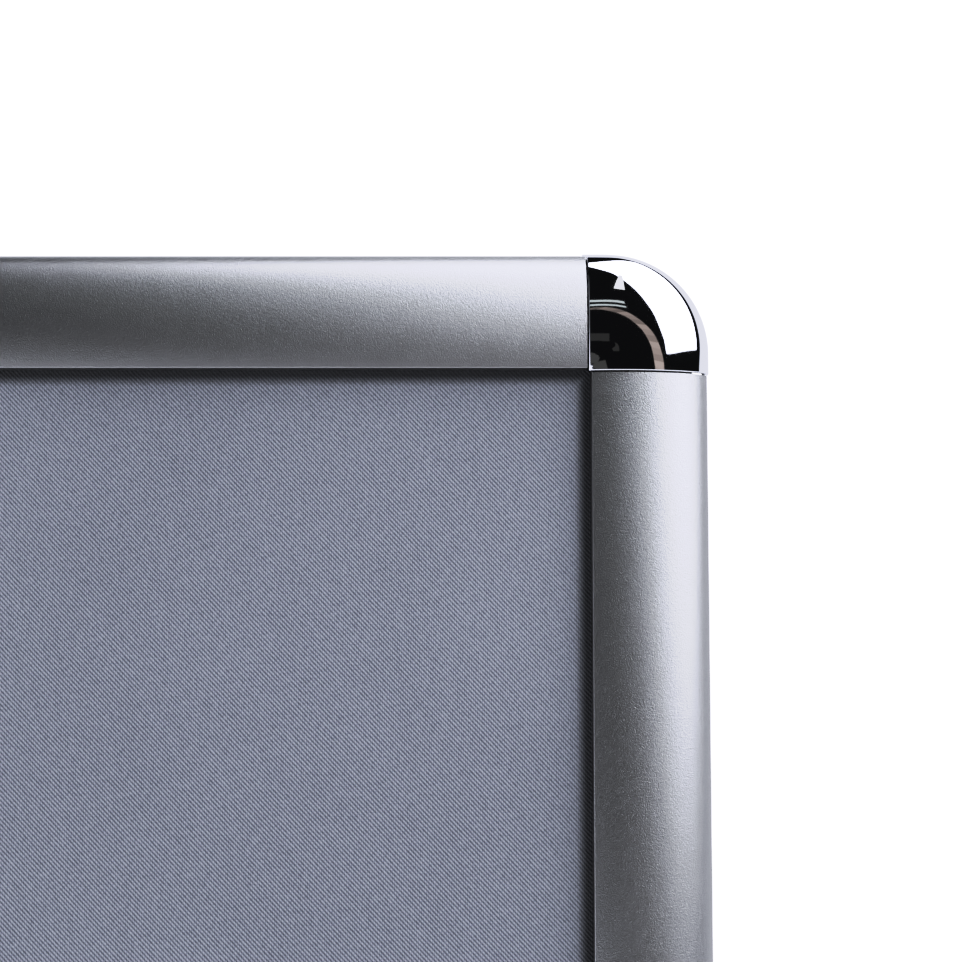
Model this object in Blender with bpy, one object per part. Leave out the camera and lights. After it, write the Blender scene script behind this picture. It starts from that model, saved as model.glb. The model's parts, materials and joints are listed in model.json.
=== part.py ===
"""Double-sided A1 pavement A-board.

Two silver snap frames with round chromed corner caps stand back to back. They hinge at the top, two
folding stays hold them open, and every snap cover flips open to change the poster.

Lengths below are millimetres; finish_object scales each mesh to metres once, when it is made.
A frame is modelled in its own space: x to the right, y from its face to its back, z up, with the top
hinge's axis through the origin. A section across a frame member uses two measures: s, inward from the
frame's outer edge, and w, forward from the frame's back plane.
"""
import math

import bmesh
import bpy
from mathutils import Matrix, Vector

MM = 0.001

# Driving dimensions of the board.
POSTER_WIDTH = 594.0
POSTER_HEIGHT = 841.0
POSTER_INSET = 22.0
OPEN_HALF_ANGLE = math.radians(13.0)
LEG_BELOW_FRAME = 180.0
HINGE_BELOW_TOP = 6.0
BACK_GAP = 3.8
GAP = 0.3

FRAME_WIDTH = POSTER_WIDTH + 2 * POSTER_INSET
FRAME_HEIGHT = POSTER_HEIGHT + 2 * POSTER_INSET
HALF_WIDTH = FRAME_WIDTH / 2
HALF_HEIGHT = FRAME_HEIGHT / 2
TOP_Z = HINGE_BELOW_TOP
MIDDLE_Z = TOP_Z - HALF_HEIGHT
LEG_END_Z = TOP_Z - FRAME_HEIGHT - LEG_BELOW_FRAME

# Base rail section.
WALL = 1.2
RAIL_OUTER_S = 0.6
RAIL_INNER_S = 30.0
UPSTAND_W = 3.2
CHAMBER_S = 5.8
RAIL_TOP_W = 8.4
BEAD_S = 2.85
BEAD_W = 6.0
BEAD_RADIUS = 1.3
NECK_LOW_W = 5.4
NECK_HIGH_W = 6.9

# Snap cover section: a claw round the bead, and a shell on an elliptical arc.
CLAW_INNER_RADIUS = 1.5
CLAW_OUTER_RADIUS = 2.45
CLAW_START = math.radians(80.0)
CLAW_END = math.radians(230.0)
CREST_S = 24.4
COVER_OUTER_S = BEAD_S - CLAW_OUTER_RADIUS
COVER_INNER_S = COVER_OUTER_S + 32.0
COVER_RISE = 9.5
SHELL = 1.2
LIP_LOW_W = 10.6
RIB_S = 19.0
RIB_THICKNESS = 0.8
RIB_LOW_W = 10.0

# Corner caps.
CAP_SIZE = 33.1
CAP_ARC_RADIUS = 27.3
CAP_PROUD = 0.4
CAP_SIDE_WALL = 1.0
CAP_LOW_W = 3.5
CAP_END_GAP = 0.4
MEMBER_START = CAP_SIZE + CAP_END_GAP

# Panel and cover sheet, which lie on the rails' ledge.
PANEL_INSET = 20.0
PANEL_LOW_W = 8.6
PANEL_THICKNESS = 0.8
SHEET_LOW_W = 9.7
SHEET_THICKNESS = 0.5

# Leaf springs under the snap covers.
SPRING_LENGTH = 30.0
SPRING_THICKNESS = 0.6
SPRING_OUTLINE = ((8.0, 8.7), (10.0, 8.7), (12.2, 11.2), (13.8, 11.2), (16.0, 8.7), (18.0, 8.7))

# Corner keys in the top corners' chambers.
KEY_LOW_S = 8.0
KEY_HIGH_S = 28.0
KEY_ARM = 90.0
KEY_CHAMFER = 12.0
KEY_LOW_W = 2.0
KEY_HIGH_W = 5.0

# Feet.
FOOT_TOP_S = (RAIL_OUTER_S - 0.2, RAIL_INNER_S + 0.6)
FOOT_TOP_W = (-0.4, RAIL_TOP_W + 0.6)
FOOT_SOLE_S = (0.2, RAIL_INNER_S + 3.0)
FOOT_SOLE_W = (-2.0, RAIL_TOP_W + 4.0)
FOOT_HEIGHT = 14.0
FOOT_COLLAR = 8.0
TONGUE_LENGTH = 26.0
TONGUE_SHRINK = 0.35
FOOT_CORNER = 2.0

# Hinges.
HINGE_X = 200.0
LEAF_LENGTH = 70.0
LEAF_DROP = 28.0
LEAF_NEAR_Y = 2.0
LEAF_FAR_Y = BACK_GAP - GAP
KNUCKLE_RADIUS = 3.2
KNUCKLE_BORE = 1.8
PIN_RADIUS = 1.5
KNUCKLE_LENGTH = LEAF_LENGTH / 3
KNUCKLE_GAP = 0.4
LEAF_RELIEF_Z = -3.6

# Side stays.
STAY_BELOW_HINGE = 600.0
STAY_PIVOT_W = 3.2
STAY_PIVOT_Y = BACK_GAP + STAY_PIVOT_W
STAY_WIDTH = 10.0
STAY_THICKNESS = 2.0
STAY_HOLE_RADIUS = 2.4
STAY_REACH = (STAY_BELOW_HINGE * math.sin(OPEN_HALF_ANGLE)
              + STAY_PIVOT_Y * math.cos(OPEN_HALF_ANGLE))
RAIL_INNER_X = HALF_WIDTH - RAIL_INNER_S
FRONT_LINK_X = RAIL_INNER_X - 2.6
REAR_LINK_X = FRONT_LINK_X - STAY_THICKNESS - 0.4
RIVET_RADIUS = 2.0
RIVET_HEAD_RADIUS = 4.0
RIVET_HEAD_HEIGHT = 1.2
SPACER_RADIUS = 3.4

# Height of the hinge axis, so that the soles' back edge meets the floor.
HINGE_Z = ((FOOT_HEIGHT - LEG_END_Z) * math.cos(OPEN_HALF_ANGLE)
           - BACK_GAP * math.sin(OPEN_HALF_ANGLE))

# Facets of round shapes.
DOME_STEPS = 12
CORNER_STEPS = 8
CLAW_STEPS = 6
BEAD_STEPS = 8
ROUND_SIDES = 16
SHARP_ANGLE = math.radians(35.0)


def clear_scene():
    for item in list(bpy.data.objects):
        bpy.data.objects.remove(item, do_unlink=True)


def make_material(name, colour, roughness, metallic):
    material = bpy.data.materials.new(name)
    material.use_nodes = True
    shader = material.node_tree.nodes["Principled BSDF"]
    shader.inputs["Base Color"].default_value = (*colour, 1.0)
    shader.inputs["Roughness"].default_value = roughness
    shader.inputs["Metallic"].default_value = metallic
    material.diffuse_color = (*colour, 1.0)
    return material


def make_empty(name, location, rotation):
    empty = bpy.data.objects.new(name, None)
    empty.location = location
    empty.rotation_euler = rotation
    bpy.context.collection.objects.link(empty)
    return empty


def finish_object(name, mesh_data, parent, material, location=(0, 0, 0), rotation=(0, 0, 0)):
    """Turn a bmesh in millimetres into a named, shaded object; location is in millimetres too."""
    bmesh.ops.remove_doubles(mesh_data, verts=mesh_data.verts, dist=0.001)
    bmesh.ops.recalc_face_normals(mesh_data, faces=mesh_data.faces)
    bmesh.ops.scale(mesh_data, vec=(MM, MM, MM), verts=mesh_data.verts)
    mesh = bpy.data.meshes.new(name)
    mesh_data.to_mesh(mesh)
    mesh_data.free()
    mesh.shade_smooth()
    mesh.set_sharp_from_angle(angle=SHARP_ANGLE)
    item = bpy.data.objects.new(name, mesh)
    item.parent = parent
    item.location = Vector(location) * MM
    item.rotation_euler = rotation
    if material:
        mesh.materials.append(material)
    else:
        item.hide_render = True
        item.display_type = "WIRE"
    bpy.context.collection.objects.link(item)
    return item


def extruded(outlines, direction):
    """A solid from one outline of 3-D points, with any holes after it, swept along direction."""
    body = bmesh.new()
    edges = []
    for outline in outlines:
        corners = [body.verts.new(point) for point in outline]
        for first, second in zip(corners, corners[1:] + corners[:1]):
            edges.append(body.edges.new((first, second)))
    filled = bmesh.ops.triangle_fill(body, use_beauty=True, use_dissolve=False, edges=edges)
    faces = [item for item in filled["geom"] if isinstance(item, bmesh.types.BMFace)]
    swept = bmesh.ops.extrude_face_region(body, geom=faces)
    moved = [item for item in swept["geom"] if isinstance(item, bmesh.types.BMVert)]
    bmesh.ops.translate(body, vec=direction, verts=moved)
    return body


def lofted(rings):
    """A solid through rings of equal counts, capped at both ends."""
    body = bmesh.new()
    levels = [[body.verts.new(point) for point in ring] for ring in rings]
    for lower, upper in zip(levels, levels[1:]):
        for index in range(len(lower)):
            beside = (index + 1) % len(lower)
            body.faces.new((lower[index], lower[beside], upper[beside], upper[index]))
    body.faces.new(levels[0])
    body.faces.new(levels[-1])
    return body


def arc(centre, radius, start, end, steps):
    """Points on an arc in a plane, both ends included."""
    turn = (end - start) / steps
    return [(centre[0] + radius * math.cos(start + turn * step),
             centre[1] + radius * math.sin(start + turn * step)) for step in range(steps + 1)]


def circle(centre, radius):
    return arc(centre, radius, 0.0, 2 * math.pi, ROUND_SIDES)[:-1]


def rectangle(low, high):
    return [(low[0], low[1]), (high[0], low[1]), (high[0], high[1]), (low[0], high[1])]


def rounded_rectangle(low, high, radius):
    """A rectangle with cut corners, eight points."""
    points = []
    for (x, y), (step_x, step_y) in zip(rectangle(low, high), ((1, 1), (-1, 1), (-1, -1), (1, -1))):
        along = (x + step_x * radius, y)
        beside = (x, y + step_y * radius)
        points += [beside, along] if step_x == step_y else [along, beside]
    return points


# ---------------------------------------------------------------- sections across a frame member

def rail_section():
    """Outline and chamber of the base rail, in (s, w)."""
    low_turn = math.asin((NECK_LOW_W - BEAD_W) / BEAD_RADIUS)
    high_turn = math.asin((NECK_HIGH_W - BEAD_W) / BEAD_RADIUS)
    bead = arc((BEAD_S, BEAD_W), BEAD_RADIUS, high_turn, 2 * math.pi + low_turn, BEAD_STEPS)
    outline = [(RAIL_OUTER_S, 0), (RAIL_INNER_S, 0), (RAIL_INNER_S, RAIL_TOP_W),
               (CHAMBER_S, RAIL_TOP_W), (CHAMBER_S, NECK_HIGH_W), *bead,
               (CHAMBER_S, NECK_LOW_W), (CHAMBER_S, WALL), (RAIL_OUTER_S + WALL, WALL),
               (RAIL_OUTER_S + WALL, UPSTAND_W), (RAIL_OUTER_S, UPSTAND_W)]
    chamber = rectangle((CHAMBER_S + WALL, WALL), (RAIL_INNER_S - WALL, RAIL_TOP_W - WALL))
    return outline, chamber


def dome_points(outer_s, rise, inner_s, first_turn):
    """An elliptical arc that rises from outer_s to its crest and falls a little to inner_s."""
    reach = CREST_S - outer_s
    last_turn = math.pi - math.acos((inner_s - CREST_S) / reach)
    turn = (last_turn - first_turn) / DOME_STEPS
    return [(CREST_S - reach * math.cos(first_turn + turn * step),
             BEAD_W + rise * math.sin(first_turn + turn * step)) for step in range(DOME_STEPS + 1)]


def dome_height(outer_s, rise, s):
    return BEAD_W + rise * math.sqrt(1 - ((CREST_S - s) / (CREST_S - outer_s)) ** 2)


def cover_section():
    """Outline of a snap cover, in (s, w)."""
    bead = (BEAD_S, BEAD_W)
    outer = dome_points(COVER_OUTER_S, COVER_RISE, COVER_INNER_S, 0.0)
    lip_s = COVER_INNER_S - SHELL
    inner_edge = (COVER_OUTER_S + SHELL, COVER_RISE - SHELL)
    inner = dome_points(*inner_edge, lip_s, math.radians(25.0))
    far_side = [point for point in inner if point[0] > RIB_S + RIB_THICKNESS]
    near_side = [point for point in inner if point[0] < RIB_S]
    rib = [(RIB_S + RIB_THICKNESS, dome_height(*inner_edge, RIB_S + RIB_THICKNESS)),
           (RIB_S + RIB_THICKNESS, RIB_LOW_W), (RIB_S, RIB_LOW_W),
           (RIB_S, dome_height(*inner_edge, RIB_S))]
    claw_inner = arc(bead, CLAW_INNER_RADIUS, CLAW_START, CLAW_END, CLAW_STEPS)
    claw_outer = arc(bead, CLAW_OUTER_RADIUS, CLAW_END, math.pi, CLAW_STEPS // 2)
    return [*outer, (COVER_INNER_S, LIP_LOW_W), (lip_s, LIP_LOW_W), *reversed(far_side), *rib,
            *reversed(near_side), *claw_inner, *claw_outer[:-1]]


def spring_section():
    """Outline of a bent leaf spring, in (s, w)."""
    upper = [(s, w + SPRING_THICKNESS) for s, w in SPRING_OUTLINE]
    return [*SPRING_OUTLINE, *reversed(upper)]


def cap_section(low_w):
    """Outline of a corner cap's shell, in (s, w), from its open edge at low_w."""
    inner_rise = COVER_RISE + CAP_PROUD - SHELL
    outer = dome_points(0.0, COVER_RISE + CAP_PROUD, CAP_SIZE, 0.0)
    inner = dome_points(CAP_SIDE_WALL, inner_rise, CAP_SIZE, 0.0)
    return [(0.0, low_w), *outer, *reversed(inner), (CAP_SIDE_WALL, low_w)]


# ---------------------------------------------------------------- placing members round a frame

SIDES = {"top": 0, "right": 1, "bottom": 2, "left": 3}
CORNERS = {"top_right": 0, "bottom_right": 1, "bottom_left": 2, "top_left": 3}
MIRRORED = {"left": "right", "right": "left"}


def quarter_turn(count):
    return (0.0, count * math.pi / 2, 0.0)


def side_place(side, s=0.0, w=0.0):
    """Where the point (s, w) at the middle of a frame side lies in the frame's space."""
    middle = {"top": (0, TOP_Z), "right": (HALF_WIDTH, MIDDLE_Z),
              "bottom": (0, TOP_Z - FRAME_HEIGHT), "left": (-HALF_WIDTH, MIDDLE_Z)}[side]
    inward = Matrix.Rotation(SIDES[side] * math.pi / 2, 3, "Y") @ Vector((0, -w, -s))
    return Vector((middle[0], -BACK_GAP, middle[1])) + inward


def corner_place(corner):
    x = HALF_WIDTH if corner.endswith("right") else -HALF_WIDTH
    z = TOP_Z if corner.startswith("top") else TOP_Z - FRAME_HEIGHT
    return Vector((x, -BACK_GAP, z))


def member(name, side, outlines, start, end, parent, material, pivot=(0.0, 0.0)):
    """A section swept along one side of a frame, with its origin at the section's pivot point."""
    rings = [[(start, pivot[1] - w, pivot[0] - s) for s, w in outline] for outline in outlines]
    body = extruded(rings, (end - start, 0, 0))
    place = side_place(side, *pivot)
    return finish_object(name, body, parent, material, place, quarter_turn(SIDES[side]))


def subtract(target, cutter):
    modifier = target.modifiers.new("cut_" + cutter.name, "BOOLEAN")
    modifier.operation = "DIFFERENCE"
    modifier.solver = "EXACT"
    modifier.object = cutter


# ---------------------------------------------------------------- pieces of one frame

def build_rails(label, parent, material, sides):
    reach = HALF_WIDTH - MEMBER_START
    butt = HALF_WIDTH - RAIL_INNER_S - GAP
    upper = HALF_HEIGHT - MEMBER_START
    lower = HALF_HEIGHT + LEG_BELOW_FRAME
    spans = {"top": (-reach, reach), "right": (-upper, lower), "bottom": (-butt, butt),
             "left": (-lower, upper)}
    for side, (start, end) in spans.items():
        member(f"{label}_rail_{sides[side]}", side, rail_section(), start, end, parent, material)


def build_covers(label, parent, material, sides):
    for side in SIDES:
        half = (HALF_WIDTH if side in ("top", "bottom") else HALF_HEIGHT) - MEMBER_START
        member(f"{label}_snap_cover_{sides[side]}", side, [cover_section()], -half, half, parent,
               material, pivot=(BEAD_S, BEAD_W))


def build_springs(label, parent, material, sides):
    half = SPRING_LENGTH / 2
    for side in SIDES:
        member(f"{label}_spring_{sides[side]}", side, [spring_section()], -half, half, parent,
               material)


def cap_ring(s, w):
    """The cap's outline offset inward by s, at height w: straight, round the corner, straight."""
    radius = max(CAP_ARC_RADIUS - s, 0.0)
    turn_at = max(s, CAP_ARC_RADIUS)
    corner = arc((-turn_at, -turn_at), radius, 0.0, math.pi / 2, CORNER_STEPS)
    path = [(-s, -CAP_SIZE), *corner, (-CAP_SIZE, -s)]
    return [(x, -w, z) for x, z in path]


def build_cap(name, corner, low_w, parent, material):
    """A thin dome round the frame's corner, open towards the frame's back."""
    body = bmesh.new()
    rows = [[body.verts.new(point) for point in cap_ring(s, w)] for s, w in cap_section(low_w)]
    for row, following in zip(rows, rows[1:] + rows[:1]):
        for index in range(len(row) - 1):
            body.faces.new((row[index], row[index + 1], following[index + 1], following[index]))
    body.faces.new([row[0] for row in rows])
    body.faces.new([row[-1] for row in reversed(rows)])
    bmesh.ops.dissolve_degenerate(body, dist=0.001, edges=body.edges)
    return finish_object(name, body, parent, material, corner_place(corner),
                         quarter_turn(CORNERS[corner]))


def build_caps(label, parent, material, sides):
    for corner in CORNERS:
        level, hand = corner.split("_")
        name = f"{label}_corner_{level}_{sides[hand]}"
        low_w = 0.0 if level == "top" else CAP_LOW_W
        cap = build_cap(name, corner, low_w, parent, material)
        if level == "bottom":
            subtract(cap, rail_clearance(name, hand, parent))


def rail_clearance(name, side, parent):
    """The room that a leg needs where it runs out from under a bottom corner cap."""
    low = (BEAD_S - BEAD_RADIUS - 0.2, CAP_LOW_W - 1.0)
    high = (CAP_SIZE + 1.0, RAIL_TOP_W + GAP)
    bottom = HALF_HEIGHT + 1.0
    top = HALF_HEIGHT - CAP_SIZE - 1.0
    span = (top, bottom) if side == "right" else (-bottom, -top)
    return member(f"{name}_clearance", side, [rectangle(low, high)], *span, parent, None)


def build_keys(label, parent, material, sides):
    chamfer_s = KEY_LOW_S + KEY_CHAMFER
    outline = [(KEY_LOW_S, chamfer_s), (chamfer_s, KEY_LOW_S), (KEY_ARM, KEY_LOW_S),
               (KEY_ARM, KEY_HIGH_S), (KEY_HIGH_S, KEY_HIGH_S), (KEY_HIGH_S, KEY_ARM),
               (KEY_LOW_S, KEY_ARM)]
    for corner in ("top_right", "top_left"):
        hand = corner.split("_")[1]
        ring = [(-across, -KEY_LOW_W, -down) for across, down in outline]
        body = extruded([ring], (0, KEY_LOW_W - KEY_HIGH_W, 0))
        finish_object(f"{label}_corner_key_{sides[hand]}", body, parent, material,
                      corner_place(corner), quarter_turn(CORNERS[corner]))


def build_sheet(name, inset, low_w, thickness, parent, material):
    """A flat sheet across the frame, inset from its outer edges."""
    outline = rectangle((inset - HALF_WIDTH, inset - HALF_HEIGHT),
                        (HALF_WIDTH - inset, HALF_HEIGHT - inset))
    body = extruded([[(x, 0, z) for x, z in outline]], (0, -thickness, 0))
    return finish_object(name, body, parent, material, (0, -BACK_GAP - low_w, MIDDLE_Z))


def sole_z(w):
    """Height, in the frame's space, of the floor under the depth w."""
    return (-(BACK_GAP + w) * math.tan(OPEN_HALF_ANGLE)
            - HINGE_Z / math.cos(OPEN_HALF_ANGLE))


def foot_ring(s_range, w_range, corner, height):
    """One level of a foot, for the right leg; height is a function of w."""
    points = rounded_rectangle((s_range[0], w_range[0]), (s_range[1], w_range[1]), corner)
    return [(-s, -BACK_GAP - w, height(w)) for s, w in points]


def build_feet(label, parent, material, sides):
    collar_z = LEG_END_Z - GAP
    chamber_s = (CHAMBER_S + WALL + TONGUE_SHRINK, RAIL_INNER_S - WALL - TONGUE_SHRINK)
    chamber_w = (WALL + TONGUE_SHRINK, RAIL_TOP_W - WALL - TONGUE_SHRINK)
    for hand, sign in (("right", 1), ("left", -1)):
        rings = [foot_ring(FOOT_SOLE_S, FOOT_SOLE_W, FOOT_CORNER, sole_z),
                 foot_ring(FOOT_TOP_S, FOOT_TOP_W, FOOT_CORNER / 2, lambda w: collar_z - FOOT_COLLAR),
                 foot_ring(FOOT_TOP_S, FOOT_TOP_W, FOOT_CORNER / 2, lambda w: collar_z),
                 foot_ring(chamber_s, chamber_w, FOOT_CORNER / 2, lambda w: collar_z),
                 foot_ring(chamber_s, chamber_w, FOOT_CORNER / 2,
                           lambda w: collar_z + TONGUE_LENGTH)]
        mirrored = [[(sign * x, y, z) for x, y, z in ring] for ring in rings]
        finish_object(f"{label}_foot_{sides[hand]}", lofted(mirrored), parent, material,
                      (sign * HALF_WIDTH, 0, 0))


# ---------------------------------------------------------------- hinges between the frames

def leaf_section():
    """Outline and bore of a hinge leaf for its whole length, in (y, z), the frame side at -y."""
    wrap = arc((0, 0), KNUCKLE_RADIUS, math.radians(-40.0), math.radians(200.0), ROUND_SIDES // 2)
    outline = [(-LEAF_FAR_Y, -LEAF_DROP), (-LEAF_NEAR_Y, -LEAF_DROP),
               (-LEAF_NEAR_Y, LEAF_RELIEF_Z - 1.0), (0.6, -KNUCKLE_RADIUS), *wrap,
               (-LEAF_FAR_Y, LEAF_RELIEF_Z)]
    return outline, circle((0, 0), KNUCKLE_BORE)


def knuckle_cutter(name, start, end, parent):
    outline = rectangle((-2 * KNUCKLE_RADIUS, LEAF_RELIEF_Z), (2 * KNUCKLE_RADIUS, 2 * KNUCKLE_RADIUS))
    body = extruded([[(start, y, z) for y, z in outline]], (end - start, 0, 0))
    return finish_object(name, body, parent, None)


def build_leaf(name, x, inner_knuckle, parent, material):
    """A hinge leaf: the rear one keeps the middle knuckle, the front one the outer two."""
    start = x - LEAF_LENGTH / 2
    rings = [[(start, y, z) for y, z in outline] for outline in leaf_section()]
    leaf = finish_object(name, extruded(rings, (LEAF_LENGTH, 0, 0)), parent, material)
    first = x - KNUCKLE_LENGTH / 2
    last = x + KNUCKLE_LENGTH / 2
    if inner_knuckle:
        spans = ((start - 1.0, first + KNUCKLE_GAP), (last - KNUCKLE_GAP, start + LEAF_LENGTH + 1.0))
    else:
        spans = ((first, last),)
    for number, (low, high) in enumerate(spans):
        subtract(leaf, knuckle_cutter(f"{name}_cutter_{number}", low, high, parent))


def build_pin(name, x, parent, material):
    """The hinge pin, a little longer than its leaves."""
    half = LEAF_LENGTH / 2 + 1.0
    ring = [(-half, y, z) for y, z in circle((0, 0), PIN_RADIUS)]
    finish_object(name, extruded([ring], (2 * half, 0, 0)), parent, material, (x, 0, 0))


# ---------------------------------------------------------------- side stays

def turned_rings(profile):
    """Rings about the x axis through the (x, radius) points of a turned profile."""
    return [[(x, y, z) for y, z in circle((0, 0), radius)] for x, radius in profile]


def build_link(name, sign, plane_x, boss, parent, material):
    """A flat link along +y from its pivot at the origin to its knee, turned up by the open angle.

    plane_x is the link's face nearer the rail; boss adds the knee's formed rivet head.
    """
    reach = STAY_REACH
    half = STAY_WIDTH / 2
    steps = ROUND_SIDES // 2
    outline = (arc((reach, 0), half, -math.pi / 2, math.pi / 2, steps)
               + arc((0, 0), half, math.pi / 2, 3 * math.pi / 2, steps))
    holes = [circle((0, 0), STAY_HOLE_RADIUS)]
    if not boss:
        holes.append(circle((reach, 0), STAY_HOLE_RADIUS))
    rings = [[(0, y, z) for y, z in ring] for ring in [outline, *holes]]
    body = extruded(rings, (-sign * STAY_THICKNESS, 0, 0))
    place = (sign * plane_x, -STAY_PIVOT_Y, -STAY_BELOW_HINGE)
    link = finish_object(name, body, parent, material, place, (OPEN_HALF_ANGLE, 0, 0))
    if boss:
        face = -sign * STAY_THICKNESS
        rise = -sign * RIVET_HEAD_HEIGHT
        profile = ((face + sign * 0.5, RIVET_HEAD_RADIUS), (face + rise * 0.5, RIVET_HEAD_RADIUS),
                   (face + rise, RIVET_HEAD_RADIUS * 0.6))
        head = finish_object(f"{name}_boss", lofted(turned_rings(profile)), parent, None, place,
                             (OPEN_HALF_ANGLE, 0, 0))
        head.location = link.location + Matrix.Rotation(OPEN_HALF_ANGLE, 3, "X") @ Vector(
            (0, reach * MM, 0))
        modifier = link.modifiers.new("boss", "BOOLEAN")
        modifier.operation = "UNION"
        modifier.solver = "EXACT"
        modifier.object = head


def build_pivot(name, sign, plane_x, parent, material):
    """A shouldered rivet from the rail's inner wall, through a link's end, to its head."""
    wall = RAIL_INNER_X - GAP
    spacer_end = plane_x + GAP
    head_start = plane_x - STAY_THICKNESS - GAP
    profile = ((wall, SPACER_RADIUS), (spacer_end, SPACER_RADIUS), (spacer_end, RIVET_RADIUS),
               (head_start, RIVET_RADIUS), (head_start, RIVET_HEAD_RADIUS),
               (head_start - RIVET_HEAD_HEIGHT / 2, RIVET_HEAD_RADIUS),
               (head_start - RIVET_HEAD_HEIGHT, RIVET_HEAD_RADIUS * 0.6))
    rings = turned_rings([(sign * x, radius) for x, radius in profile])
    finish_object(name, lofted(rings), parent, material, (0, -STAY_PIVOT_Y, -STAY_BELOW_HINGE))


def build_knee_rivet(name, sign, parent, material):
    """The knee's rivet in the front link: a head on the rail side, a shank inside the link."""
    head_low = FRONT_LINK_X + GAP
    profile = ((FRONT_LINK_X - STAY_THICKNESS, RIVET_RADIUS), (head_low, RIVET_RADIUS),
               (head_low, RIVET_HEAD_RADIUS), (head_low + RIVET_HEAD_HEIGHT / 2, RIVET_HEAD_RADIUS),
               (head_low + RIVET_HEAD_HEIGHT, RIVET_HEAD_RADIUS * 0.6))
    rings = turned_rings([(sign * x, radius) for x, radius in profile])
    reach = Matrix.Rotation(OPEN_HALF_ANGLE, 3, "X") @ Vector((0, STAY_REACH, 0))
    place = Vector((0, -STAY_PIVOT_Y, -STAY_BELOW_HINGE)) + reach
    finish_object(name, lofted(rings), parent, material, place)


def build_frame(label, parent, materials, sides):
    build_rails(label, parent, materials["aluminium"], sides)
    build_covers(label, parent, materials["aluminium"], sides)
    build_caps(label, parent, materials["chrome"], sides)
    build_springs(label, parent, materials["spring"], sides)
    build_keys(label, parent, materials["zinc"], sides)
    build_feet(label, parent, materials["rubber"], sides)
    build_sheet(f"{label}_back_panel", PANEL_INSET, PANEL_LOW_W, PANEL_THICKNESS, parent,
                materials["galvanised"])
    build_sheet(f"{label}_cover_sheet", POSTER_INSET, SHEET_LOW_W, SHEET_THICKNESS, parent,
                materials["sheet"])


def build_hinges(front, rear, material):
    for hand, x in (("left", -HINGE_X), ("right", HINGE_X)):
        build_leaf(f"hinge_{hand}_front_leaf", x, False, front, material)
        build_leaf(f"hinge_{hand}_rear_leaf", -x, True, rear, material)
        build_pin(f"hinge_{hand}_pin", x, front, material)


def build_stays(front, rear, material):
    for hand, sign in (("left", -1), ("right", 1)):
        build_link(f"stay_{hand}_front_link", sign, FRONT_LINK_X, False, front, material)
        build_link(f"stay_{hand}_rear_link", -sign, REAR_LINK_X, True, rear, material)
        build_pivot(f"stay_{hand}_front_pivot", sign, FRONT_LINK_X, front, material)
        build_pivot(f"stay_{hand}_rear_pivot", -sign, REAR_LINK_X, rear, material)
        build_knee_rivet(f"stay_{hand}_knee_rivet", sign, front, material)


def main():
    clear_scene()
    materials = {
        "aluminium": make_material("anodised_aluminium", (0.60, 0.61, 0.64), 0.42, 1.0),
        "chrome": make_material("chrome", (0.80, 0.80, 0.81), 0.05, 1.0),
        "sheet": make_material("grey_sheet", (0.21, 0.22, 0.28), 0.55, 0.0),
        "galvanised": make_material("galvanised_steel", (0.52, 0.54, 0.56), 0.45, 1.0),
        "zinc": make_material("zinc_plated_steel", (0.58, 0.58, 0.60), 0.35, 1.0),
        "spring": make_material("spring_steel", (0.42, 0.42, 0.44), 0.30, 1.0),
        "rubber": make_material("black_rubber", (0.03, 0.03, 0.032), 0.75, 0.0),
    }
    top = (0, 0, HINGE_Z * MM)
    front = make_empty("front_frame_hinge_axis", top, (-OPEN_HALF_ANGLE, 0, 0))
    rear = make_empty("rear_frame_hinge_axis", top, (-OPEN_HALF_ANGLE, 0, math.pi))
    as_seen = {side: side for side in SIDES}
    turned_round = {side: MIRRORED.get(side, side) for side in SIDES}
    build_frame("front", front, materials, as_seen)
    build_frame("rear", rear, materials, turned_round)
    build_hinges(front, rear, materials["zinc"])
    build_stays(front, rear, materials["zinc"])


main()
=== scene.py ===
import json
import math

import bmesh
import bpy
from mathutils import Matrix, Vector


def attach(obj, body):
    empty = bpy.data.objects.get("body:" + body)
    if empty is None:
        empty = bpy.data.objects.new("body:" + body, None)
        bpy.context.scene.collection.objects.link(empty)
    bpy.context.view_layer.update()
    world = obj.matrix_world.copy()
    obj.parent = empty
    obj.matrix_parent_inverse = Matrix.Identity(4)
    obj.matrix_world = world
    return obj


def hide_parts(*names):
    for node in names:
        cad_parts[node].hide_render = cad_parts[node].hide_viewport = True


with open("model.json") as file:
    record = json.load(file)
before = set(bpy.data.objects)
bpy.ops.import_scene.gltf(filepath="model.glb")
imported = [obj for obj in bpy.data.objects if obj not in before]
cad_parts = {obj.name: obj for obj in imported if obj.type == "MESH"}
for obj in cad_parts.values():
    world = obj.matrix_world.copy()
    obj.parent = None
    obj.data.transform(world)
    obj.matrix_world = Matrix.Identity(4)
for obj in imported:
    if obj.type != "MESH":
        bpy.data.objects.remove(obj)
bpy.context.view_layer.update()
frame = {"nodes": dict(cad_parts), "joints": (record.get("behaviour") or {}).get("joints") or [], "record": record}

MM = 0.001

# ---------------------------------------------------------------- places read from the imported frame

JOINTS = {joint["name"]: joint for joint in frame["joints"]}
NODES = frame["nodes"]
HINGE = Vector(JOINTS["fold"]["pos_m"])
LEG_DIRECTION = Vector(JOINTS["front_snap_cover_right_hinge"]["axis"])
TILT = math.atan2(abs(LEG_DIRECTION.y), abs(LEG_DIRECTION.z))
LEAN = Matrix.Rotation(-TILT, 4, "X")
SPACES = {
    "front": Matrix.Translation(HINGE) @ LEAN,
    "rear": Matrix.Translation(HINGE) @ Matrix.Rotation(math.pi, 4, "Z") @ LEAN,
}
MIRRORED = {"left": "right", "right": "left"}
SIDES = {"top": 0, "right": 1, "bottom": 2, "left": 3}
CORNERS = {"top_right": 0, "bottom_right": 1, "bottom_left": 2, "top_left": 3}


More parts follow.
